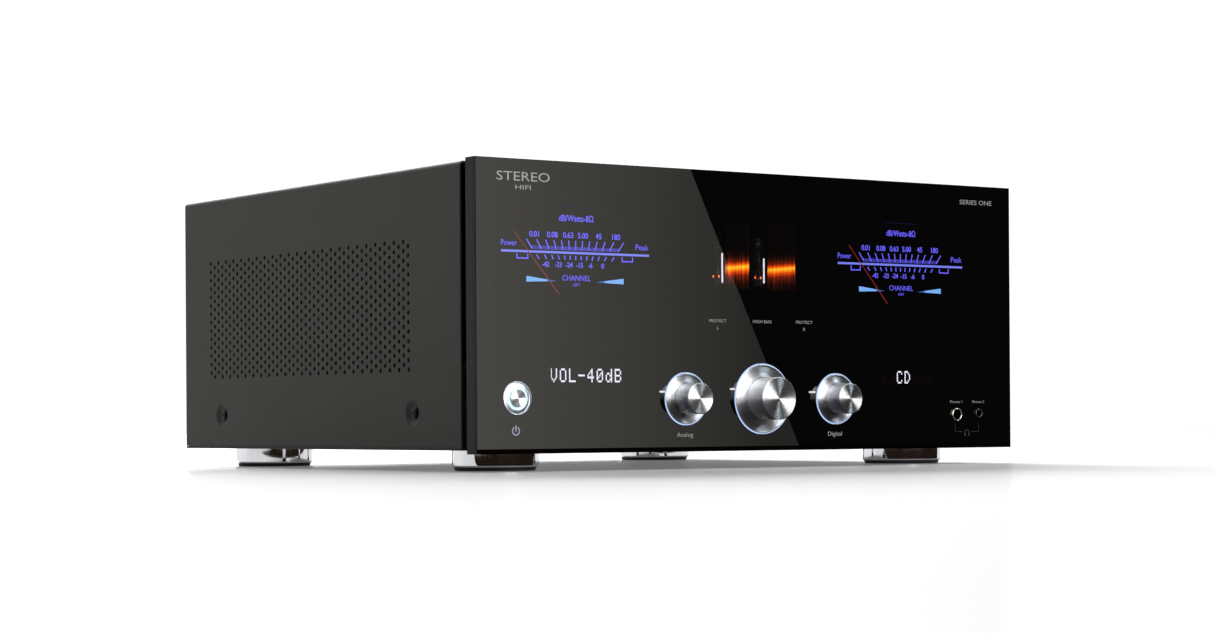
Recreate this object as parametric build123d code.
"""Integrated amplifier: glass-fronted case, knobs, meters, tube window and the works inside.

Frame while modelling: X to the right as seen from the front, Y towards the back, Z up.
y = 0 is the front of the glass, x = 0 the middle of the case, z = 0 the surface it stands on.
save() moves every piece along Y, so that the finished object is centred over the origin.
All sizes are in millimetres.
"""
from build123d import *
from math import cos, radians, sin, tan
import os

# ---------------------------------------------------------------- fits
FIT = 0.1                 # radial or side gap between pieces that are fastened together
RUNNING = 0.05            # radial gap of a shaft that turns in its bush
LOOSE = 0.3               # gap round a piece that moves past another

# ---------------------------------------------------------------- case
CASE_WIDTH = 428.8
CASE_DEPTH = 389.0        # front of the glass to the back edge of the cover
CASE_TOP = 186.4          # top of the cover above the floor
CHASSIS_BOTTOM = 13.0     # underside of the base plate above the floor
SHEET = 1.2               # steel sheet of the cover
BASE_SHEET = 1.5
COVER_GAP = 0.2           # between the cover's lower edge and the base plate
BEND_RADIUS = 2.5         # outside of the cover's two long bends
REAR_INSET = 1.0          # rear panel inside the cover's back edge
REAR_SHEET = 1.5

# ---------------------------------------------------------------- front
FASCIA_OVERHANG = 0.6     # fascia past the case on each side
FASCIA_BOTTOM = 10.8
FASCIA_TOP = 187.6
GLASS_THICK = 3.0
GLASS_CHAMFER = 0.5
FRAME_THICK = 8.0
RECESS_DEPTH = 7.5        # dark gap between fascia frame and cover
RECESS_SIDE = 6.0         # how far the front chassis stays inside the fascia
RECESS_UNDER = 5.4
CHASSIS_SHEET = 1.8       # plate that carries the meters and controls

# ---------------------------------------------------------------- feet
FOOT_RADIUS = 27.2
FOOT_CHAMFER = 0.9
FOOT_SIDE = 48.4          # middle of a foot to the side of the case
FOOT_FRONT_Y = 57.0
FOOT_REAR = 41.0          # middle of a rear foot to the back of the case
PAD_HEIGHT = 2.4
PAD_INSET = 1.4           # rubber pad inside the foot's edge
PAD_TAPER = 1.0
PAD_WIDTH = 8.0
FOOT_SCREW_RADIUS = 2.0
FOOT_SCREW_HEAD = 4.2
FOOT_SCREW_CAP = 3.0      # height of the foot screw's head
FOOT_SCREW_HEX = 1.7
FOOT_SCREW_HEX_DEPTH = 2.2
FOOT_SCREW_REACH = 4.0    # above the base plate
FOOT_WEB = 5.0            # solid top of a foot, under which the screw's head sits

# ---------------------------------------------------------------- side perforation and cover screws
HOLE_RADIUS = 1.5
HOLE_PITCH_Y = 11.47
HOLE_PITCH_Z = 5.86
HOLES_REAR_MARGIN = 40.1  # last column to the back edge of the cover
HOLES_TOP_MARGIN = 44.6   # first row to the top of the cover
HOLES_FRONT_Y = 75.0      # no holes before this
HOLES_LOW_Z = 60.0        # nor below this
VENT_SLOT = 3.2           # slots over the heat sinks
VENT_PITCH = 9.0
VENT_LENGTH = 46.0
VENT_INWARDS = 8.0        # middle of the slots, inwards from the middle of the sinks
SCREW_RADIUS = 1.5
SCREW_HEAD = 4.0
SCREW_DOME = 1.4          # height of a cover screw's head
SCREW_SLOT = 0.7
SCREW_CROSS = 1.9         # half the length of a slot
SCREW_LENGTH = 5.0
SCREW_RISE = 23.0         # above the underside of the chassis
SCREW_FRONT_Y = 75.0
SCREW_REAR_MARGIN = 56.0
DIMPLE_RADIUS = 8.4
DIMPLE_FLOOR = 4.9
DIMPLE_DEPTH = 2.0
DIMPLE_ROUND = 0.4        # how much wider the floor is inside than outside

# ---------------------------------------------------------------- knobs
KNOB_Z = 43.8
SELECTOR_X = 60.6
VOLUME_RADIUS = 13.5
VOLUME_PROUD = 17.0
VOLUME_DISH = 21.8
SELECTOR_RADIUS = 9.75
SELECTOR_PROUD = 15.0
SELECTOR_DISH = 15.85
KNOB_BACK = 4.0           # how far a knob reaches behind the front of the glass
KNOB_CHAMFER = 0.35
DISH_PROUD = 0.6          # rim of the dish before the glass
DISH_SINK = 0.3           # floor of the dish behind the front of the glass
DISH_LIP = 1.3            # lip round the knob's root, before the glass
DISH_LIP_WALL = 0.4
DISH_FLARE = 3.4          # radius over which the floor rises to the lip
DISH_RIM = (1.2, 0.5, 0.3)  # foot of the rim, crown of the rim and its rounding, from the edge
SEAT_DEPTH = 6.0          # seat of dishes and rings behind the front of the glass
LIGHT_RING = 0.8          # wall of the lit rings
RING_PROUD = 0.2
SNUG = 0.02               # radial gap of a light guide in its seat
SHAFT_RADIUS = 3.0
SHAFT_IN_KNOB = 15.0
SHAFT_GRIP = 0.02         # radial gap of the knob's bore on its shaft
SHAFT_END = 0.2           # shaft short of the bore's end
SHAFT_BEHIND = 2.0        # end of the shaft before the control board
ENCODER_WIDTH = 12.0
BUSH_RADIUS = 4.5

# ---------------------------------------------------------------- power button
POWER_EDGE = 27.9         # button to the side of the case
POWER_Z = 44.0
POWER_RADIUS = 5.5
POWER_PROUD = 1.7
POWER_FLANGE = 7.0
POWER_TRAVEL = 2.0
POWER_STEM = 2.0
POWER_CHAMFER = 0.3
POWER_FLANGE_THICK = 1.5
SWITCH_BODY = 6.0         # push switch behind the button: width, and how far it stands out
SWITCH_HIGH = 2.5
STOP_GAP = 0.2            # button's flange to its stop, and its stem to the switch
POWER_BEZEL_INNER = 7.1
POWER_BEZEL = 10.25
SHOULDER = 2.0            # frame wall that the button's flange stops against

# ---------------------------------------------------------------- meters
METER_EDGE = 82.8         # middle of a dial to the side of the case
METER_Z = 133.5
DIAL_WIDTH = 130.0
DIAL_HEIGHT = 52.2
DIAL_THICK = 0.8
WINDOW_WIDTH = 133.0
WINDOW_HEIGHT = 54.0
PIVOT_BELOW = 41.7        # needle pivot below the middle of the dial
NEEDLE_LENGTH = 71.0
NEEDLE_TAIL = 5.0
NEEDLE_WIDTH = 0.6
NEEDLE_TIP_WIDTH = 0.3
NEEDLE_CLEAR = 1.0        # tip, upright, to the housing
NEEDLE_THICK = 0.35
NEEDLE_REST = 41.0        # degrees left of upright at rest
NEEDLE_BEFORE_DIAL = 1.6
HUB_RADIUS = 3.0
HUB_THICK = 1.8
HUB_CLEAR = 2.8           # hub to the housing's floor
SPINDLE_RADIUS = 0.6
SPINDLE_REACH = 6.0       # spindle past the chassis plate
SPINDLE_END = 0.5
MOVEMENT_HALF = 14.0
MOVEMENT_ABOVE = 9.0      # top of the meter's works above the pivot
LEDGE = 3.0
METER_WALL = 1.2
METER_FRONT = 12.5
METER_BACK = 42.0

# ---------------------------------------------------------------- displays
DISPLAY_EDGE = 84.4
DISPLAY_Z = 58.0
DISPLAY_WIDTH = 60.0
DISPLAY_HEIGHT = 18.0
DISPLAY_FACE = 9.0        # face of the display behind the front of the glass
DISPLAY_CHAMFER = 0.4

# ---------------------------------------------------------------- tubes
TUBE_X = 17.0
TUBE_Y = 30.5
TUBE_RADIUS = 10.5
TUBE_WALL = 0.8
TUBE_BASE_Z = 109.5
TUBE_TOP_Z = 156.0
TUBE_DOME = 6.5           # height of the rounded shoulder
TUBE_TIP = (1.2, 2.2)     # radius and height of the sealed-off tip
TUBE_WINDOW_WIDTH = 84.0
TUBE_WINDOW_LOW = 114.0
TUBE_WINDOW_HIGH = 158.0
TUBE_FRAME_MARGIN = 3.0   # opening in the fascia frame past the one in the chassis plate
SOCKET_RADIUS = 11.2
SOCKET_HEIGHT = 8.0
HOOD_HALF = 46.0
HOOD_TOP = 164.0
HOOD_BACK = 64.0
HOOD_WALL = 1.0
DIVIDER_X = 4.8           # screen between the tubes, close to the right-hand one
SOCKET_CHAMFER = 0.6
TUBE_SEAT = 0.5           # socket's top to the foot of the bulb
MICA_LOW = 8.0            # lower and upper mica discs above the foot of the bulb
MICA_HIGH = 31.0
MICA = 0.5
STEM = 3.0                # glass stem that closes the bulb's foot
ANODE = (5.2, 9.2)        # width and depth of an anode box
ANODE_ASIDE = 3.9         # middle of an anode to the middle of the tube
SLEEVE = 0.9              # radius of a cathode sleeve
GETTER_POST = 0.5
GETTER_RING = (4.0, 3.0)  # outer and inner radius
GETTER_RISE = (4.5, 5.3)
BOARD = 1.6               # thickness of every circuit board

# ---------------------------------------------------------------- headphone sockets
LARGE_JACK_EDGE = 49.0
LARGE_JACK_Z = 33.0
LARGE_JACK_BORE = 3.2
LARGE_JACK_RING = 4.6
LARGE_JACK_DEPTH = 30.0
SMALL_JACK_EDGE = 29.1
SMALL_JACK_Z = 33.7
SMALL_JACK_BORE = 1.8
SMALL_JACK_RING = 3.5
SMALL_JACK_DEPTH = 15.0
JACK_PROUD = 0.5
JACK_WALL = 3.0           # plastic round the bore behind the panel
JACK_TAIL = 3.0           # body past the end of the bore

# ---------------------------------------------------------------- inside
FRONT_BOARD_GAP = 6.5     # chassis plate's back to the control board
FRONT_BOARD_SIDE = 14.4   # board's end to the side of the case
FRONT_BOARD_LOW = 20.0
FRONT_BOARD_HIGH = 78.0
TOROID_X = -85.0
TOROID_Y = 128.0
TOROID_RADIUS = 58.0
TOROID_ROUND = 9.0
TOROID_HOLE = 16.0
TOROID_HEIGHT = 56.0
CLAMP_BOLT = 4.0
CLAMP_WASHER = 30.0
CLAMP_THICK = 2.0
CLAMP_HEX = (7.5, 5.0)    # radius over the corners and height of the bolt's head
SINK_FRONT_Y = 95.0
SINK_REAR = 54.0          # back of the sinks to the back of the case
SINK_HEIGHT = 112.0
SINK_BASE = 7.0
SINK_FIN = 26.0
SINK_FIN_WALL = 2.4
SINK_FINS = 24
SINK_GAP = 3.0            # fins to the base plate's side flange
FLANGE_HEIGHT = 30.0      # side flanges of the base plate
BOARD_X = (-15.0, 150.0)
BOARD_FRONT_Y = 85.0
BOARD_REAR = 49.0         # back of the main board to the back of the case
BOARD_Z = 28.0
BOSS_RADIUS = 3.0
BOSS_INSET = 6.0
CAPACITOR_RADIUS = 17.5
CAPACITOR_HEIGHT = 52.0
CAPACITOR_ROUND = 1.5
CAPACITORS = [(30.0, 120.0), (75.0, 120.0), (30.0, 165.0), (75.0, 165.0)]
TRANSISTORS = 4           # on each sink
TRANSISTOR_FRONT = 40.0   # first transistor to the sink's front, last one to its back
TRANSISTOR_REAR = 50.0
TRANSISTOR_SIZE = (15.6, 4.8)  # width and thickness
TRANSISTOR_Z = (60.0, 80.0)
LEG_LOW = 48.0
LEG_PITCH = 5.0
LEG_SIZE = (1.2, 0.8)     # width and thickness of a transistor's leg
LEG_IN = 1.6              # leg's near face to the sink

# ---------------------------------------------------------------- back
POST_XS = [-48.0, -24.0, 24.0, 48.0]
POST_NAMES = ["left_minus", "left_plus", "right_minus", "right_plus"]
POST_Z = 50.0
POST_REACH = 23.0         # end of a speaker post behind the rear panel
STUD_INSIDE = 8.0
STUD_RADIUS = 4.0
BANANA_RADIUS = 2.0
BANANA_DEPTH = 19.0
COLLAR_RADIUS = 8.8
COLLAR_LENGTH = 6.0
CAP_RADIUS = 7.6
CAP_LENGTH = 15.0
CAP_FLUTES = 12
FLUTE_RADIUS = 1.1
FLUTE_OUT = 0.5           # middle of a flute outside the cap
FLUTE_START = 2.0
TURNED_CHAMFER = 0.8
RCA_EDGE = 24.4           # first pair of phono sockets to the side of the case
RCA_PITCH = 24.0
RCA_PAIRS = 5
RCA_ZS = [122.0, 142.0]
RCA_RADIUS = 4.15
RCA_LENGTH = 9.5
RCA_COLLAR = (5.6, 1.2)   # radius and thickness
RCA_GROOVE = (3.3, 3.0)   # outer radius, and floor outside the panel
RCA_CONTACT = (2.7, 1.7, 1.0)  # inner contact: outer and inner radius, and how far it stays inside
RCA_INSIDE = 10.0
RCA_FLOOR = 6.0
INLET_EDGE = 49.4         # middle of the mains socket to the side of the case
INLET_Z = 50.0
INLET_WIDTH = 24.6        # inside of the mains socket
INLET_HEIGHT = 16.6
INLET_DEPTH = 17.0
INLET_WALL = 1.4
INLET_BACK = 4.0          # solid end of the socket's body
INLET_FLANGE = (50.0, 24.0, 3.0)
PIN_LENGTH = 12.5         # contact blades above the socket's floor
PIN_TAIL = 9.0
PIN_SIZE = (2.0, 4.0)
PINS = [(-7.0, -2.0), (0.0, 2.0), (7.0, -2.0)]  # the earth blade is in the middle, above the others
SWITCH_Z = 92.0
ROCKER_HALF = 5.0
ROCKER_RADIUS = 6.8
ROCKER_TILT = 11.0
ROCKER_VALLEY = 4.4       # middle of the rocker's face before the panel
ROCKER_RISE = 8.0
ROCKER_PIVOT = (1.0, 1.2)  # radius, and reach past the rocker's side
SWITCH_WALL = 1.6
SWITCH_FLANGE = (2.0, 2.0)  # rim past the switch's body, and its thickness
SWITCH_DEPTH = 14.0
REAR_SCREW_DOWN = 6.0     # rear screws below the panel's top
REAR_SCREW_EDGE = 34.4    # outer rear screws to the side of the case
REAR_SCREW_X = 60.0       # inner rear screws

# ---------------------------------------------------------------- worked out from the above
HALF_CASE = CASE_WIDTH / 2
HALF_FASCIA = HALF_CASE + FASCIA_OVERHANG
FRAME_BACK = GLASS_THICK + FRAME_THICK
COVER_FRONT = FRAME_BACK + RECESS_DEPTH
PLATE_FRONT = COVER_FRONT - CHASSIS_SHEET
FRONT_BOARD_Y = COVER_FRONT + FRONT_BOARD_GAP
FRONT_BOARD_HALF = HALF_CASE - FRONT_BOARD_SIDE
BASE_TOP = CHASSIS_BOTTOM + BASE_SHEET
COVER_LOW = BASE_TOP + COVER_GAP
REAR_FACE = CASE_DEPTH - REAR_INSET
REAR_INNER = REAR_FACE - REAR_SHEET
PANEL_HALF = HALF_CASE - SHEET - FIT
PANEL_TOP = CASE_TOP - SHEET - FIT
FLANGE_FACE = HALF_CASE - SHEET - DIMPLE_DEPTH - FIT
POWER_X = POWER_EDGE - HALF_CASE
METER_X = HALF_CASE - METER_EDGE
DISPLAY_X = HALF_CASE - DISPLAY_EDGE
PIVOT_Z = METER_Z - PIVOT_BELOW
METER_HALF = DIAL_WIDTH / 2 + 2 * FIT + METER_WALL
METER_LOW = PIVOT_Z - HUB_RADIUS - HUB_CLEAR - METER_WALL
METER_HIGH = PIVOT_Z + NEEDLE_LENGTH + NEEDLE_CLEAR + METER_WALL
NEEDLE_Y = PLATE_FRONT - NEEDLE_BEFORE_DIAL
TUBE_BOARD_Z = TUBE_BASE_Z - TUBE_SEAT - SOCKET_HEIGHT
SINK_REAR_Y = CASE_DEPTH - SINK_REAR
BOARD_Y = (BOARD_FRONT_Y, CASE_DEPTH - BOARD_REAR)
FOOT_X = HALF_CASE - FOOT_SIDE
FOOT_REAR_Y = CASE_DEPTH - FOOT_REAR
FOOT_SHELF = CHASSIS_BOTTOM - FOOT_WEB
LARGE_JACK_X = HALF_CASE - LARGE_JACK_EDGE
SMALL_JACK_X = HALF_CASE - SMALL_JACK_EDGE
JACKS = {
    "large": (LARGE_JACK_X, LARGE_JACK_Z, LARGE_JACK_BORE, LARGE_JACK_RING, LARGE_JACK_DEPTH),
    "small": (SMALL_JACK_X, SMALL_JACK_Z, SMALL_JACK_BORE, SMALL_JACK_RING, SMALL_JACK_DEPTH),
}
KNOBS = {
    "volume": (0.0, VOLUME_RADIUS, VOLUME_PROUD, VOLUME_DISH),
    "analog": (-SELECTOR_X, SELECTOR_RADIUS, SELECTOR_PROUD, SELECTOR_DISH),
    "digital": (SELECTOR_X, SELECTOR_RADIUS, SELECTOR_PROUD, SELECTOR_DISH),
}
FEET = {
    "front_left": (-FOOT_X, FOOT_FRONT_Y),
    "front_right": (FOOT_X, FOOT_FRONT_Y),
    "rear_left": (-FOOT_X, FOOT_REAR_Y),
    "rear_right": (FOOT_X, FOOT_REAR_Y),
}
SCREW_Z = CHASSIS_BOTTOM + SCREW_RISE
SIDE_SCREWS = [(SCREW_FRONT_Y, SCREW_Z), (CASE_DEPTH - SCREW_REAR_MARGIN, SCREW_Z)]
REAR_SCREW_OUTER = HALF_CASE - REAR_SCREW_EDGE
REAR_SCREW_XS = [-REAR_SCREW_OUTER, -REAR_SCREW_X, REAR_SCREW_X, REAR_SCREW_OUTER]
RCA_XS = [RCA_EDGE - HALF_CASE + number * RCA_PITCH for number in range(RCA_PAIRS)]
INLET_X = HALF_CASE - INLET_EDGE
REAR_SCREW_Z = PANEL_TOP - REAR_SCREW_DOWN
TO_CENTRE = Pos(0, -(REAR_FACE + POST_REACH - VOLUME_PROUD) / 2, 0)


# ---------------------------------------------------------------- shapes that many pieces use
def block(x, y, z):
    """A box given by its low and high ends along each axis."""
    centre = Pos((x[0] + x[1]) / 2, (y[0] + y[1]) / 2, (z[0] + z[1]) / 2)
    return centre * Box(x[1] - x[0], y[1] - y[0], z[1] - z[0])


def rod(radius, y, x=0.0, z=0.0):
    """A round bar lying along Y, between two values of y."""
    return Pos(x, (y[0] + y[1]) / 2, z) * Rot(90, 0, 0) * Cylinder(radius, y[1] - y[0])


def post(radius, z, x=0.0, y=0.0):
    """A round bar standing along Z, between two values of z."""
    return Pos(x, y, (z[0] + z[1]) / 2) * Cylinder(radius, z[1] - z[0])


def ring(outer, inner, y, x=0.0, z=0.0):
    """A tube lying along Y."""
    return rod(outer, y, x, z) - rod(inner, y, x, z)


def turned_y(outline, x=0.0, z=0.0):
    """A turned piece: a closed outline of (radius, y) spun about an axis along Y."""
    return Pos(x, 0, z) * revolve(make_face(Polyline(*outline, close=True)), Axis.Y)


def turned_z(outline, x=0.0, y=0.0):
    """A turned piece: a closed outline of (radius, z) spun about an axis along Z."""
    points = [(r, 0, z) for r, z in outline]
    return Pos(x, y, 0) * revolve(make_face(Polyline(*points, close=True)), Axis.Z)


def save(name, *shapes):
    """Write one node. Several shapes are identical or closely related loose solids of one node."""
    solids = [solid for shape in shapes for solid in shape.solids()]
    whole = solids[0] if len(solids) == 1 else Compound(solids)
    export_step(TO_CENTRE * whole, f"parts/{name}.step")


# ---------------------------------------------------------------- front: glass, frame, chassis plate
def front_holes(y):
    """Holes for the dishes, the power bezel and their lit rings, between two values of y."""
    cuts = [rod(dish + LIGHT_RING + FIT, y, x, KNOB_Z) for x, _, _, dish in KNOBS.values()]
    cuts.append(rod(POWER_BEZEL + FIT, y, POWER_X, POWER_Z))
    return cuts


def jack_holes(y):
    return [rod(collar + FIT, y, x, z) for x, z, _, collar, _ in JACKS.values()]


def window(x, z, width, height, y):
    return block((x - width / 2, x + width / 2), y, (z - height / 2, z + height / 2))


def display_windows(y):
    size = (DISPLAY_WIDTH + 2 * FIT, DISPLAY_HEIGHT + 2 * FIT)
    return [window(side * DISPLAY_X, DISPLAY_Z, *size, y) for side in (-1, 1)]


def tube_window(y, margin):
    low, high = TUBE_WINDOW_LOW - margin, TUBE_WINDOW_HIGH + margin
    half = TUBE_WINDOW_WIDTH / 2 + margin
    return block((-half, half), y, (low, high))


def fascia_glass():
    y = (0, GLASS_THICK)
    plate = block((-HALF_FASCIA, HALF_FASCIA), y, (FASCIA_BOTTOM, FASCIA_TOP))
    plate = chamfer(plate.faces().sort_by(Axis.Y)[0].edges(), GLASS_CHAMFER)
    return plate - front_holes(y) - jack_holes(y)


def fascia_frame():
    y = (GLASS_THICK, FRAME_BACK)
    plate = block((-HALF_FASCIA, HALF_FASCIA), y, (FASCIA_BOTTOM, FASCIA_TOP))
    plate -= front_holes((GLASS_THICK, SEAT_DEPTH))
    plate -= [rod(BUSH_RADIUS + LOOSE, y, x, KNOB_Z) for x, *_ in KNOBS.values()]
    plate -= rod(POWER_RADIUS + LOOSE, y, POWER_X, POWER_Z)
    plate -= rod(POWER_FLANGE + LOOSE, (SEAT_DEPTH + SHOULDER, FRAME_BACK), POWER_X, POWER_Z)
    plate -= jack_holes(y) + display_windows(y)
    plate -= [window(side * METER_X, METER_Z, WINDOW_WIDTH, WINDOW_HEIGHT, y) for side in (-1, 1)]
    return plate - tube_window(y, TUBE_FRAME_MARGIN)


def front_chassis():
    """A tray of bent sheet: the plate behind the fascia, and a rim forward to the fascia frame."""
    half = HALF_FASCIA - RECESS_SIDE
    low, high = FASCIA_BOTTOM + RECESS_UNDER, FASCIA_TOP - RECESS_UNDER
    tray = block((-half, half), (FRAME_BACK, COVER_FRONT), (low, high))
    inside = CHASSIS_SHEET
    tray -= block((-half + inside, half - inside), (FRAME_BACK, PLATE_FRONT), (low + inside, high - inside))
    y = (PLATE_FRONT, COVER_FRONT)
    tray -= [rod(BUSH_RADIUS + FIT, y, x, KNOB_Z) for x, *_ in KNOBS.values()]
    tray -= rod(POWER_STEM + LOOSE, y, POWER_X, POWER_Z)
    tray -= jack_holes(y) + display_windows(y)
    for side in (-1, 1):
        across = (side * METER_X - METER_HALF - FIT, side * METER_X + METER_HALF + FIT)
        tray -= block(across, y, (METER_LOW - FIT, METER_HIGH + FIT))
    return tray - tube_window(y, 0.0)


# ---------------------------------------------------------------- case: cover, base plate, rear panel
def hole_centres():
    """Both staggered grids of the side perforation, as (y, z)."""
    last_y, top_z = CASE_DEPTH - HOLES_REAR_MARGIN, CASE_TOP - HOLES_TOP_MARGIN
    columns = int((last_y - HOLES_FRONT_Y) / HOLE_PITCH_Y + 0.5)
    rows = int((top_z - HOLES_LOW_Z) / HOLE_PITCH_Z + 0.5)
    for column in range(columns):
        for row in range(rows):
            y, z = last_y - column * HOLE_PITCH_Y, top_z - row * HOLE_PITCH_Z
            yield y, z
            yield y - HOLE_PITCH_Y / 2, z - HOLE_PITCH_Z / 2


def side_sheet(x):
    """One perforated side wall, from x inwards by one sheet."""
    outline = [(COVER_FRONT, COVER_LOW), (CASE_DEPTH, COVER_LOW), (CASE_DEPTH, CASE_TOP - BEND_RADIUS),
               (COVER_FRONT, CASE_TOP - BEND_RADIUS)]
    edge = Wire.make_polygon([Vector(x, y, z) for y, z in outline])
    holes = []
    for y, z in hole_centres():
        place = Plane(origin=(x, y, z), x_dir=(0, 1, 0), z_dir=(1, 0, 0))
        holes.append(Wire([Edge.make_circle(HOLE_RADIUS, place)]))
    inwards = -SHEET if x > 0 else SHEET
    return Part(Solid.extrude(Face(edge, holes), Vector(inwards, 0, 0)).wrapped)


def cover_top():
    """Top sheet with its two long bends."""
    y = (COVER_FRONT, CASE_DEPTH)
    flat = HALF_CASE - BEND_RADIUS
    sheet = block((-flat, flat), y, (CASE_TOP - SHEET, CASE_TOP))
    for side in (-1, 1):
        bend = ring(BEND_RADIUS, BEND_RADIUS - SHEET, y, side * flat, CASE_TOP - BEND_RADIUS)
        corner = block(sorted((side * flat, side * HALF_CASE)), y, (CASE_TOP - BEND_RADIUS, CASE_TOP))
        sheet += bend & corner
    return sheet


def dimple(side, y, z):
    """Embossed cup that a cover screw's head sits in."""
    outer, inner = SHEET, DIMPLE_DEPTH
    cup = [(DIMPLE_RADIUS + FIT, 0), (DIMPLE_RADIUS, 0), (DIMPLE_FLOOR, inner),
           (SCREW_RADIUS + FIT, inner), (SCREW_RADIUS + FIT, inner + outer),
           (DIMPLE_FLOOR + DIMPLE_ROUND, inner + outer), (DIMPLE_RADIUS + FIT, outer)]
    turned = revolve(make_face(Polyline(*cup, close=True)), Axis.Y)
    turn = Rot(0, 0, 90) if side > 0 else Rot(0, 0, -90)
    return Pos(side * HALF_CASE, y, z) * turn * turned


def side_bore(side, radius, y, z, depth):
    """A round cut along X through a side wall."""
    bar = Rot(0, 90, 0) * Cylinder(radius, 2 * depth)
    return Pos(side * HALF_CASE, y, z) * bar


def vent_slots():
    """Slots over each heat sink: the guessed part of the ventilation."""
    first, last = SINK_FRONT_Y + VENT_PITCH, SINK_REAR_Y - VENT_PITCH
    count = int((last - first) // VENT_PITCH) + 1
    middle = HALF_CASE - SINK_GAP - (SINK_BASE + SINK_FIN) / 2 - VENT_INWARDS
    for side in (-1, 1):
        for number in range(count):
            place = Pos(side * middle, first + number * VENT_PITCH, CASE_TOP)
            yield place * extrude(SlotOverall(VENT_LENGTH, VENT_SLOT), SHEET, both=True)


def top_cover():
    cover = cover_top() + side_sheet(-HALF_CASE) + side_sheet(HALF_CASE)
    cover -= list(vent_slots())
    for side in (-1, 1):
        for y, z in SIDE_SCREWS:
            cover -= side_bore(side, DIMPLE_RADIUS, y, z, 2 * SHEET)
            cover += dimple(side, y, z)
    return cover


def base_plate():
    """Bottom sheet with side flanges for the cover screws and bosses for the board."""
    y = (COVER_FRONT, CASE_DEPTH)
    plate = block((-HALF_CASE, HALF_CASE), y, (CHASSIS_BOTTOM, BASE_TOP))
    for side in (-1, 1):
        across = sorted((side * FLANGE_FACE, side * (FLANGE_FACE - BASE_SHEET)))
        plate += block(across, (COVER_FRONT, REAR_INNER), (CHASSIS_BOTTOM, BASE_TOP + FLANGE_HEIGHT))
    for side in (-1, 1):
        for screw_y, screw_z in SIDE_SCREWS:
            plate -= side_bore(side, SCREW_RADIUS + RUNNING, screw_y, screw_z, FLANGE_HEIGHT)
    plate += [post(BOSS_RADIUS, (BASE_TOP, BOARD_Z), x, at_y) for x, at_y in board_corners()]
    screw_hole = FOOT_SCREW_RADIUS + FIT
    plate -= [post(screw_hole, (CHASSIS_BOTTOM, BASE_TOP), x, at_y) for x, at_y in FEET.values()]
    return plate - post(CLAMP_BOLT + FIT, (CHASSIS_BOTTOM, BASE_TOP), TOROID_X, TOROID_Y)


def rear_panel():
    y = (REAR_INNER, REAR_FACE)
    panel = block((-PANEL_HALF, PANEL_HALF), y, (BASE_TOP, PANEL_TOP))
    panel = fillet(panel.edges().filter_by(Axis.Y).group_by(Axis.Z)[-1], BEND_RADIUS)
    panel -= [rod(STUD_RADIUS + FIT, y, x, POST_Z) for x in POST_XS]
    panel -= [rod(RCA_RADIUS + FIT, y, x, z) for x in RCA_XS for z in RCA_ZS]
    width, height = INLET_WIDTH + 2 * (INLET_WALL + FIT), INLET_HEIGHT + 2 * (INLET_WALL + FIT)
    panel -= window(INLET_X, INLET_Z, width, height, y)
    panel -= window(INLET_X, SWITCH_Z, *[size + 2 * FIT for size in switch_size()], y)
    return panel - [rod(SCREW_RADIUS + RUNNING, y, x, REAR_SCREW_Z) for x in REAR_SCREW_XS]


# ---------------------------------------------------------------- feet and screws
def foot(x, y):
    screw, bore = FOOT_SCREW_HEAD + 2 * FIT, FOOT_SCREW_RADIUS + FIT
    outline = [(bore, CHASSIS_BOTTOM), (FOOT_RADIUS, CHASSIS_BOTTOM),
               (FOOT_RADIUS, PAD_HEIGHT + FOOT_CHAMFER), (FOOT_RADIUS - FOOT_CHAMFER, PAD_HEIGHT),
               (screw, PAD_HEIGHT), (screw, FOOT_SHELF), (bore, FOOT_SHELF)]
    return turned_z(outline, x, y)


def foot_pad(x, y):
    outer = FOOT_RADIUS - PAD_INSET
    outline = [(outer - PAD_WIDTH, 0), (outer - PAD_TAPER, 0),
               (outer, PAD_HEIGHT), (outer - PAD_WIDTH, PAD_HEIGHT)]
    return turned_z(outline, x, y)


def foot_screw(x, y):
    bottom = FOOT_SHELF - FOOT_SCREW_CAP
    head = post(FOOT_SCREW_HEAD, (bottom, FOOT_SHELF), x, y)
    head -= Pos(x, y, bottom) * extrude(RegularPolygon(FOOT_SCREW_HEX, 6), FOOT_SCREW_HEX_DEPTH)
    return head + post(FOOT_SCREW_RADIUS, (FOOT_SHELF, BASE_TOP + FOOT_SCREW_REACH), x, y)


def screw():
    """Domed cross-head screw: head below z = 0, shank up along Z."""
    dome, slot = SCREW_DOME, SCREW_SLOT / 2
    steps = [radians(angle) for angle in (90, 65, 40, 20, 0)]
    head = [(SCREW_HEAD * cos(step), -dome * sin(step)) for step in steps]
    shape = turned_z(head + [(0, 0)]) + post(SCREW_RADIUS, (0, SCREW_LENGTH))
    for turn in (0, 90):
        cut = block((-SCREW_CROSS, SCREW_CROSS), (-slot, slot), (-dome, -dome / 3))
        shape -= Rot(0, 0, turn) * cut
    return shape


def cover_screws():
    shapes = []
    for side in (-1, 1):
        for y, z in SIDE_SCREWS:
            turn = Rot(0, -90, 0) if side > 0 else Rot(0, 90, 0)
            shapes.append(Pos(side * (HALF_CASE - DIMPLE_DEPTH), y, z) * turn * screw())
    for x in REAR_SCREW_XS:
        shapes.append(Pos(x, REAR_FACE, REAR_SCREW_Z) * Rot(90, 0, 0) * screw())
    return shapes


# ---------------------------------------------------------------- knobs
def knob(x, radius, proud):
    """Solid turned knob with a blind bore for its shaft."""
    body = rod(radius, (-proud, KNOB_BACK), x, KNOB_Z)
    body = chamfer(body.edges().group_by(Axis.Y)[0], KNOB_CHAMFER)
    return body - rod(SHAFT_RADIUS + SHAFT_GRIP, (KNOB_BACK - SHAFT_IN_KNOB, KNOB_BACK), x, KNOB_Z)


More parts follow.
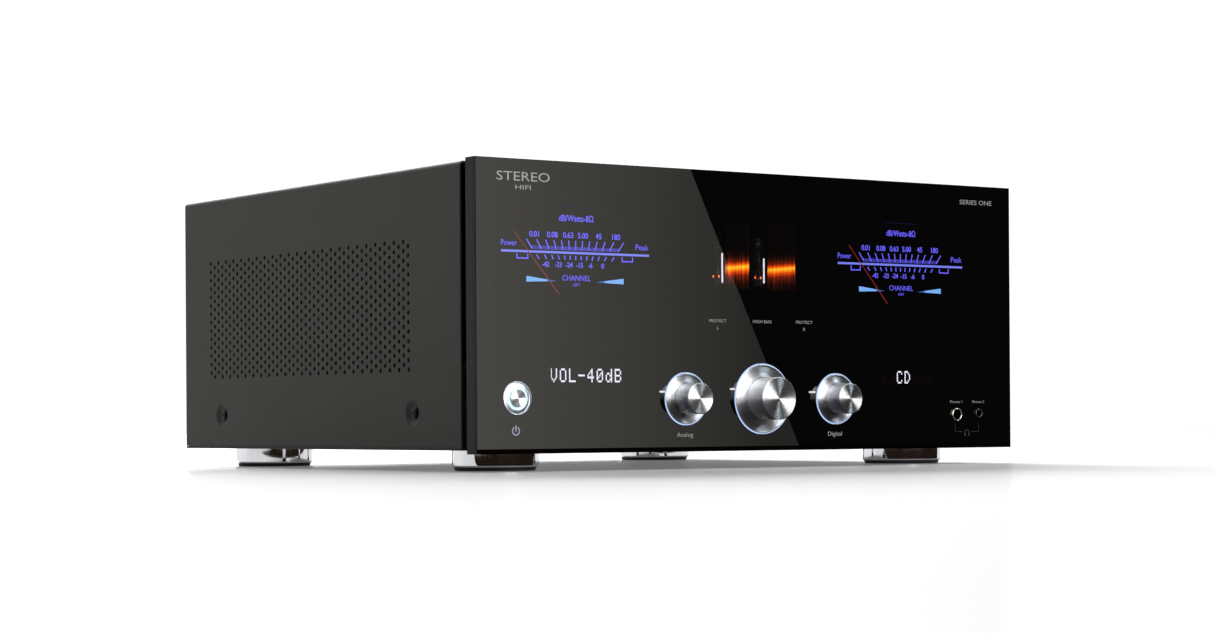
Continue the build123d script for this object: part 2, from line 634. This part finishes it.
def shaft(x):
    """Encoder shaft: from inside the knob, through the bush, into the encoder."""
    y = (KNOB_BACK - SHAFT_IN_KNOB + SHAFT_END, FRONT_BOARD_Y - SHAFT_BEHIND)
    return rod(SHAFT_RADIUS, y, x, KNOB_Z)


def dish(x, radius, rim):
    """Fixed spun dish round a knob: a raised rim, a sunk floor, and a flare up to a thin lip."""
    bore = radius + LOOSE
    lip, foot_of_flare = bore + DISH_LIP_WALL, bore + DISH_LIP_WALL + DISH_FLARE
    rim_foot, crown, rounding = DISH_RIM
    straight = Polyline((foot_of_flare, DISH_SINK), (rim - rim_foot, DISH_SINK), (rim - crown, -DISH_PROUD),
                        (rim, rounding - DISH_PROUD), (rim, SEAT_DEPTH), (bore, SEAT_DEPTH),
                        (bore, -DISH_LIP), (lip, -DISH_LIP))
    half_way = 1 - cos(radians(45))
    middle = (lip + DISH_FLARE * half_way, DISH_SINK - (DISH_LIP + DISH_SINK) * half_way)
    flare = ThreePointArc((lip, -DISH_LIP), middle, (foot_of_flare, DISH_SINK))
    return Pos(x, 0, KNOB_Z) * revolve(make_face([straight, flare]), Axis.Y)


def encoder(x):
    half, y = ENCODER_WIDTH / 2, (COVER_FRONT, FRONT_BOARD_Y)
    body = block((x - half, x + half), y, (KNOB_Z - half, KNOB_Z + half))
    body += rod(BUSH_RADIUS, (FRAME_BACK + FIT, COVER_FRONT), x, KNOB_Z)
    return body - rod(SHAFT_RADIUS + RUNNING, (0, FRONT_BOARD_Y - SHAFT_BEHIND + SPINDLE_END), x, KNOB_Z)


def light_rings():
    """Light guides: one round each dish, and one between power button and bezel."""
    y = (-RING_PROUD, SEAT_DEPTH)
    rings = [ring(rim + LIGHT_RING, rim + SNUG, y, x, KNOB_Z) for x, _, _, rim in KNOBS.values()]
    outer, inner = POWER_BEZEL_INNER - SNUG, POWER_RADIUS + LOOSE
    rings.append(ring(outer, inner, (-DISH_PROUD, SEAT_DEPTH), POWER_X, POWER_Z))
    return rings


# ---------------------------------------------------------------- power button
def power_button():
    flange_y = SEAT_DEPTH + SHOULDER + STOP_GAP
    stem_end = FRONT_BOARD_Y - SWITCH_HIGH - POWER_TRAVEL - STOP_GAP
    cap = rod(POWER_RADIUS, (-POWER_PROUD, flange_y), POWER_X, POWER_Z)
    cap = chamfer(cap.edges().group_by(Axis.Y)[0], POWER_CHAMFER)
    cap += rod(POWER_FLANGE, (flange_y, flange_y + POWER_FLANGE_THICK), POWER_X, POWER_Z)
    return cap + rod(POWER_STEM, (flange_y, stem_end), POWER_X, POWER_Z)


def power_bezel():
    inner, rim = POWER_BEZEL_INNER, POWER_BEZEL
    _, crown, rounding = DISH_RIM
    outline = [(inner, SEAT_DEPTH), (inner, -DISH_PROUD), (rim - 2 * crown, 0), (rim - crown, -DISH_PROUD),
               (rim, rounding - DISH_PROUD), (rim, SEAT_DEPTH)]
    return turned_y(outline, POWER_X, POWER_Z)


# ---------------------------------------------------------------- meters
def meter_housing(side):
    """Open-fronted black box; two ledges inside hold the dial."""
    x = side * METER_X
    inner_half = METER_HALF - METER_WALL
    box = block((x - METER_HALF, x + METER_HALF), (METER_FRONT, METER_BACK), (METER_LOW, METER_HIGH))
    box -= block((x - inner_half, x + inner_half), (METER_FRONT, METER_BACK - METER_WALL),
                 (METER_LOW + METER_WALL, METER_HIGH - METER_WALL))
    ledge_y = (PLATE_FRONT + DIAL_THICK, METER_BACK - METER_WALL)
    for end in (-1, 1):
        across = sorted((x + end * inner_half, x + end * (inner_half - LEDGE)))
        box += block(across, ledge_y, (METER_LOW + METER_WALL, METER_HIGH - METER_WALL))
    return box


def meter_dial(side):
    return window(side * METER_X, METER_Z, DIAL_WIDTH, DIAL_HEIGHT, (PLATE_FRONT, PLATE_FRONT + DIAL_THICK))


def needle(side):
    """Tapered blade, hub, balance tail and spindle, leaning left at rest."""
    half, tip = NEEDLE_WIDTH / 2, NEEDLE_TIP_WIDTH / 2
    low, high = -NEEDLE_TAIL, NEEDLE_LENGTH
    outline = Polyline((-half, low), (half, low), (tip, high), (-tip, high), close=True)
    blade = Pos(0, NEEDLE_Y + NEEDLE_THICK / 2, 0) * extrude(Plane.XZ * make_face(outline), NEEDLE_THICK)
    hub = rod(HUB_RADIUS, (NEEDLE_Y - HUB_THICK / 2, NEEDLE_Y + HUB_THICK / 2))
    hub += rod(SPINDLE_RADIUS, (NEEDLE_Y, COVER_FRONT + SPINDLE_REACH))
    return Pos(side * METER_X, 0, PIVOT_Z) * Rot(0, -NEEDLE_REST, 0) * (blade + hub)


def meter_movement(side):
    """Moving-coil works behind the pivot."""
    x, low = side * METER_X, METER_LOW + METER_WALL
    y = (PLATE_FRONT + DIAL_THICK, METER_BACK - METER_WALL)
    body = block((x - MOVEMENT_HALF, x + MOVEMENT_HALF), y, (low, PIVOT_Z + MOVEMENT_ABOVE))
    bearing = (0, COVER_FRONT + SPINDLE_REACH + SPINDLE_END)
    return body - rod(SPINDLE_RADIUS + RUNNING, bearing, x, PIVOT_Z)


# ---------------------------------------------------------------- displays and boards behind the front
def display(side):
    y = (DISPLAY_FACE, FRONT_BOARD_Y)
    body = window(side * DISPLAY_X, DISPLAY_Z, DISPLAY_WIDTH, DISPLAY_HEIGHT, y)
    return chamfer(body.faces().sort_by(Axis.Y)[0].edges(), DISPLAY_CHAMFER)


def front_board():
    """Control board, and the push switch behind the power button."""
    y = (FRONT_BOARD_Y, FRONT_BOARD_Y + BOARD)
    board = block((-FRONT_BOARD_HALF, FRONT_BOARD_HALF), y, (FRONT_BOARD_LOW, FRONT_BOARD_HIGH))
    for x, z, bore, _, _ in JACKS.values():
        room = 2 * (bore + JACK_WALL + LOOSE)
        board -= window(x, z, room, room, y)
    switch_y = (FRONT_BOARD_Y - SWITCH_HIGH, FRONT_BOARD_Y)
    return board, window(POWER_X, POWER_Z, SWITCH_BODY, SWITCH_BODY, switch_y)


def phones_jack(x, z, bore, collar, depth):
    """Headphone socket: plastic body behind the panel and a metal collar through it."""
    half = bore + JACK_WALL
    body = block((x - half, x + half), (COVER_FRONT, COVER_FRONT + depth + JACK_TAIL), (z - half, z + half))
    body += rod(collar, (-JACK_PROUD, COVER_FRONT), x, z)
    return body - rod(bore, (-JACK_PROUD, depth), x, z)


# ---------------------------------------------------------------- tubes
def tube_glass(side):
    """Glass bulb, open below, with a domed top and the sealed-off tip."""
    r, wall, top = TUBE_RADIUS, TUBE_WALL, TUBE_TOP_Z
    tip, tip_low = TUBE_TIP
    shoulder = top - tip_low - TUBE_DOME
    steps = [radians(angle) for angle in (0, 20, 40, 60, 80)]
    outside = [(r * cos(step), shoulder + TUBE_DOME * sin(step)) for step in steps]
    inner, dome = r - wall, TUBE_DOME - wall
    inside = [(inner * cos(step), shoulder + dome * sin(step)) for step in reversed(steps)]
    crown = [(tip, top - tip_low), (tip / 2, top - tip / 2), (0, top), (0, shoulder + dome)]
    outline = [(inner, TUBE_BASE_Z), (r, TUBE_BASE_Z)] + outside + crown + inside
    return turned_z(outline, side * TUBE_X, TUBE_Y)


def tube_electrodes(side):
    """Stem, two mica discs, two anode boxes, cathode sleeves and the getter ring."""
    x, y = side * TUBE_X, TUBE_Y
    inner = TUBE_RADIUS - TUBE_WALL - FIT
    low, high, stem = TUBE_BASE_Z + MICA_LOW, TUBE_BASE_Z + MICA_HIGH, TUBE_BASE_Z + STEM
    wide, deep = ANODE[0] / 2, ANODE[1] / 2
    stack = post(inner, (TUBE_BASE_Z, stem), x, y)
    stack += [post(inner - TUBE_WALL, (z, z + MICA), x, y) for z in (low, high)]
    for at in (x - ANODE_ASIDE, x + ANODE_ASIDE):
        stack += block((at - wide, at + wide), (y - deep, y + deep), (low + MICA, high))
        stack += post(SLEEVE, (stem, low), at, y)
        stack += post(SLEEVE, (high + MICA, high + 2 * SLEEVE), at, y)
    return stack + getter(x, y, high)


def getter(x, y, high):
    """Ring on a wire above the upper mica disc, reaching the wire with one spoke."""
    z = (high + GETTER_RISE[0], high + GETTER_RISE[1])
    outer, inner = GETTER_RING
    wire = post(GETTER_POST, (high, z[1]), x, y)
    spoke = block((x, x + inner + GETTER_POST), (y - GETTER_POST, y + GETTER_POST), z)
    return wire + spoke + post(outer, z, x, y) - (post(inner, z, x, y) - spoke - wire)


def tube_socket(side):
    base = post(SOCKET_RADIUS, (TUBE_BOARD_Z, TUBE_BOARD_Z + SOCKET_HEIGHT), side * TUBE_X, TUBE_Y)
    return chamfer(base.edges().group_by(Axis.Z)[-1], SOCKET_CHAMFER)


def tube_board():
    return block((-HOOD_HALF, HOOD_HALF), (COVER_FRONT, HOOD_BACK), (TUBE_BOARD_Z - BOARD, TUBE_BOARD_Z))


def tube_hood():
    """Dark screen round the tubes, open to the front and below, with a divider between them."""
    box = block((-HOOD_HALF, HOOD_HALF), (COVER_FRONT, HOOD_BACK), (TUBE_BOARD_Z, HOOD_TOP))
    box -= block((-HOOD_HALF + HOOD_WALL, HOOD_HALF - HOOD_WALL), (COVER_FRONT, HOOD_BACK - HOOD_WALL),
                 (TUBE_BOARD_Z, HOOD_TOP - HOOD_WALL))
    across = (DIVIDER_X - HOOD_WALL / 2, DIVIDER_X + HOOD_WALL / 2)
    return box + block(across, (COVER_FRONT, HOOD_BACK), (TUBE_BOARD_Z, HOOD_TOP))


# ---------------------------------------------------------------- power section
def toroid():
    """Wound ring core in its tape, with rounded edges."""
    low = BASE_TOP
    ring_shape = post(TOROID_RADIUS, (low, low + TOROID_HEIGHT), TOROID_X, TOROID_Y)
    ring_shape -= post(TOROID_HOLE, (low, low + TOROID_HEIGHT), TOROID_X, TOROID_Y)
    return fillet(ring_shape.edges().filter_by(GeomType.CIRCLE), TOROID_ROUND)


def transformer_clamp():
    """Dished washer over the ring core, and the bolt that holds it down."""
    top = BASE_TOP + TOROID_HEIGHT
    z = (top, top + CLAMP_THICK)
    washer = post(CLAMP_WASHER, z, TOROID_X, TOROID_Y) - post(CLAMP_BOLT + FIT, z, TOROID_X, TOROID_Y)
    corners, height = CLAMP_HEX
    head = Pos(TOROID_X, TOROID_Y, z[1]) * extrude(RegularPolygon(corners, 6), height)
    return washer, head + post(CLAMP_BOLT, (CHASSIS_BOTTOM, z[1]), TOROID_X, TOROID_Y)


def heat_sink(side):
    """Extruded comb: upright fins towards the perforated side, a thick back towards the middle."""
    outer = FLANGE_FACE - BASE_SHEET - SINK_GAP
    y, z = (SINK_FRONT_Y, SINK_REAR_Y), (BASE_TOP, BASE_TOP + SINK_HEIGHT)
    comb = block(sorted((side * (outer - SINK_FIN), side * (outer - SINK_FIN - SINK_BASE))), y, z)
    pitch = (SINK_REAR_Y - SINK_FRONT_Y - SINK_FIN_WALL) / (SINK_FINS - 1)
    for number in range(SINK_FINS):
        start = SINK_FRONT_Y + number * pitch
        comb += block(sorted((side * (outer - SINK_FIN), side * outer)), (start, start + SINK_FIN_WALL), z)
    return comb


def output_transistor(side, y):
    face = FLANGE_FACE - BASE_SHEET - SINK_GAP - SINK_FIN - SINK_BASE
    width, thick = TRANSISTOR_SIZE
    body = block(sorted((side * face, side * (face - thick))), (y - width / 2, y + width / 2), TRANSISTOR_Z)
    wide, flat = LEG_SIZE
    across = sorted((side * (face - LEG_IN), side * (face - LEG_IN - flat)))
    for at in (y - LEG_PITCH, y, y + LEG_PITCH):
        body += block(across, (at - wide / 2, at + wide / 2), (LEG_LOW, TRANSISTOR_Z[0]))
    return body


def transistor_ys():
    """The transistors are spaced evenly along the sink, between its two margins."""
    first, last = SINK_FRONT_Y + TRANSISTOR_FRONT, SINK_REAR_Y - TRANSISTOR_REAR
    return [first + (last - first) * number / (TRANSISTORS - 1) for number in range(TRANSISTORS)]


def board_corners():
    xs = (BOARD_X[0] + BOSS_INSET, BOARD_X[1] - BOSS_INSET)
    ys = (BOARD_Y[0] + BOSS_INSET, BOARD_Y[1] - BOSS_INSET)
    return [(x, y) for x in xs for y in ys]


def main_board():
    return block(BOARD_X, BOARD_Y, (BOARD_Z, BOARD_Z + BOARD))


def capacitor(x, y):
    low = BOARD_Z + BOARD
    can = post(CAPACITOR_RADIUS, (low, low + CAPACITOR_HEIGHT), x, y)
    return fillet(can.edges().group_by(Axis.Z)[-1], CAPACITOR_ROUND)


# ---------------------------------------------------------------- back: mains, inputs, speaker posts
def mains_inlet():
    """Socket body with its flange outside the panel."""
    wide, high, thick = INLET_FLANGE
    face = REAR_FACE + thick
    half_width, half_height = INLET_WIDTH / 2 + INLET_WALL, INLET_HEIGHT / 2 + INLET_WALL
    shell = window(INLET_X, INLET_Z, wide, high, (REAR_FACE, face))
    body_y = (face - INLET_DEPTH - INLET_BACK, REAR_FACE)
    shell += window(INLET_X, INLET_Z, 2 * half_width, 2 * half_height, body_y)
    shell -= window(INLET_X, INLET_Z, INLET_WIDTH, INLET_HEIGHT, (face - INLET_DEPTH, face))
    for blade in pin_blades(FIT):
        shell -= blade
    return shell


def pin_blades(grow=0.0):
    """Three flat contact blades, or, grown, the slots they stand in."""
    floor = REAR_FACE + INLET_FLANGE[2] - INLET_DEPTH
    y = (floor - PIN_TAIL, floor + PIN_LENGTH)
    size = [side + 2 * grow for side in PIN_SIZE]
    return [window(INLET_X + dx, INLET_Z + dz, *size, y) for dx, dz in PINS]


def switch_size():
    """Width and height of the rocker switch's body in the panel."""
    return 2 * (ROCKER_HALF + LOOSE + SWITCH_WALL), 2 * (ROCKER_RADIUS + LOOSE + SWITCH_WALL)


def mains_switch_frame():
    width, height = switch_size()
    rim, thick = SWITCH_FLANGE
    flange = REAR_FACE + thick
    shell = window(INLET_X, SWITCH_Z, width + 2 * rim, height + 2 * rim, (REAR_FACE, flange))
    shell += window(INLET_X, SWITCH_Z, width, height, (REAR_FACE - SWITCH_DEPTH, REAR_FACE))
    cavity = (ROCKER_HALF + LOOSE, ROCKER_RADIUS + LOOSE)
    shell -= window(INLET_X, SWITCH_Z, 2 * cavity[0], 2 * cavity[1], (REAR_FACE - cavity[1], flange))
    radius, reach = ROCKER_PIVOT
    pivot = Rot(0, 90, 0) * Cylinder(radius + RUNNING, 2 * (ROCKER_HALF + reach + FIT))
    return shell - Pos(INLET_X, REAR_FACE, SWITCH_Z) * pivot


def mains_rocker():
    """Rocker with a shallow V face, on stub pivots, lying to one side at rest."""
    barrel = Rot(0, 90, 0) * Cylinder(ROCKER_RADIUS, 2 * ROCKER_HALF)
    rise, valley = ROCKER_RISE, ROCKER_VALLEY
    crest = valley + rise * tan(radians(ROCKER_TILT))
    outline = Polyline((0, -rise, -rise), (0, crest, -rise), (0, valley, 0), (0, crest, rise),
                       (0, -rise, rise), close=True)
    prism = extrude(make_face(outline), ROCKER_HALF, both=True)
    radius, reach = ROCKER_PIVOT
    rocker = (barrel & prism) + Rot(0, 90, 0) * Cylinder(radius, 2 * (ROCKER_HALF + reach))
    return Pos(INLET_X, REAR_FACE, SWITCH_Z) * Rot(ROCKER_TILT, 0, 0) * rocker


def rca_jack(x, z):
    """Phono socket: barrel behind the panel, collar on it, shell with its inner contact outside."""
    collar, collar_thick = RCA_COLLAR
    groove, groove_floor = RCA_GROOVE
    contact, bore, inset = RCA_CONTACT
    outline = [(bore, RCA_LENGTH - inset), (bore, -RCA_FLOOR), (0, -RCA_FLOOR), (0, -RCA_INSIDE),
               (RCA_RADIUS, -RCA_INSIDE), (RCA_RADIUS, 0), (collar, 0), (collar, collar_thick),
               (RCA_RADIUS, collar_thick), (RCA_RADIUS, RCA_LENGTH), (groove, RCA_LENGTH),
               (groove, groove_floor), (contact, groove_floor), (contact, RCA_LENGTH - inset)]
    return turned_y([(r, REAR_FACE + y) for r, y in outline], x, z)


def post_collar(x):
    collar = ring(COLLAR_RADIUS, STUD_RADIUS + FIT, (REAR_FACE, REAR_FACE + COLLAR_LENGTH), x, POST_Z)
    return chamfer(collar.edges().group_by(Axis.Y)[-1].sort_by(SortBy.RADIUS)[-1:], TURNED_CHAMFER)


def speaker_post(x):
    end = REAR_FACE + POST_REACH
    stud = rod(STUD_RADIUS, (REAR_INNER - STUD_INSIDE, end), x, POST_Z)
    return stud - rod(BANANA_RADIUS, (end - BANANA_DEPTH, end), x, POST_Z)


def post_cap(x):
    """Fluted terminal cap that turns on the post's thread."""
    start = REAR_FACE + COLLAR_LENGTH + LOOSE
    cap = ring(CAP_RADIUS, STUD_RADIUS + RUNNING, (start, start + CAP_LENGTH), x, POST_Z)
    cap = chamfer(cap.edges().group_by(Axis.Y)[-1].sort_by(SortBy.RADIUS)[-1:], TURNED_CHAMFER)
    out, y = CAP_RADIUS + FLUTE_OUT, (start + FLUTE_START, start + CAP_LENGTH)
    for number in range(CAP_FLUTES):
        angle = radians(360 / CAP_FLUTES * number)
        cap -= rod(FLUTE_RADIUS, y, x + out * cos(angle), POST_Z + out * sin(angle))
    return cap


# ---------------------------------------------------------------- write every node
def save_front():
    save("fascia_glass", fascia_glass())
    save("fascia_frame", fascia_frame())
    save("front_chassis", front_chassis())
    for name, (x, radius, proud, rim) in KNOBS.items():
        save(f"{name}_knob", knob(x, radius, proud))
        save(f"{name}_shaft", shaft(x))
        save(f"{name}_dish", dish(x, radius, rim))
    save("encoders", *[encoder(x) for x, *_ in KNOBS.values()])
    save("light_rings", *light_rings())
    save("power_button", power_button())
    save("power_bezel", power_bezel())
    save("displays", display(-1), display(1))
    save("front_board", *front_board())
    save("large_phones_jack", phones_jack(*JACKS["large"]))
    save("small_phones_jack", phones_jack(*JACKS["small"]))


def save_meters_and_tubes():
    for name, side in (("left", -1), ("right", 1)):
        save(f"{name}_meter_housing", meter_housing(side))
        save(f"{name}_meter_dial", meter_dial(side))
        save(f"{name}_needle", needle(side))
        save(f"{name}_tube_glass", tube_glass(side))
    save("meter_movements", meter_movement(-1), meter_movement(1))
    save("tube_electrodes", tube_electrodes(-1), tube_electrodes(1))
    save("tube_sockets", tube_socket(-1), tube_socket(1))
    save("tube_board", tube_board())
    save("tube_hood", tube_hood())


def save_case():
    save("top_cover", top_cover())
    save("base_plate", base_plate())
    save("rear_panel", rear_panel())
    save("cover_screws", *cover_screws())
    for name, spot in FEET.items():
        save(f"foot_{name}", foot(*spot))
    save("foot_pads", *[foot_pad(*spot) for spot in FEET.values()])
    save("foot_screws", *[foot_screw(*spot) for spot in FEET.values()])


def save_inside():
    save("toroidal_transformer", toroid())
    save("transformer_clamp", *transformer_clamp())
    save("heat_sinks", heat_sink(-1), heat_sink(1))
    save("output_transistors", *[output_transistor(side, y) for side in (-1, 1) for y in transistor_ys()])
    save("main_board", main_board())
    save("reservoir_capacitors", *[capacitor(x, y) for x, y in CAPACITORS])


def save_back():
    save("mains_inlet", mains_inlet())
    save("mains_pins", *pin_blades())
    save("mains_switch_frame", mains_switch_frame())
    save("mains_rocker", mains_rocker())
    save("rca_jacks", *[rca_jack(x, z) for x in RCA_XS for z in RCA_ZS])
    save("speaker_posts", *[speaker_post(x) for x in POST_XS])
    save("speaker_post_collars", *[post_collar(x) for x in POST_XS])
    for name, x in zip(POST_NAMES, POST_XS):
        save(f"post_cap_{name}", post_cap(x))


os.makedirs("parts", exist_ok=True)
save_front()
save_meters_and_tubes()
save_case()
save_inside()
save_back()
print("overall depth", REAR_FACE + POST_REACH + VOLUME_PROUD)
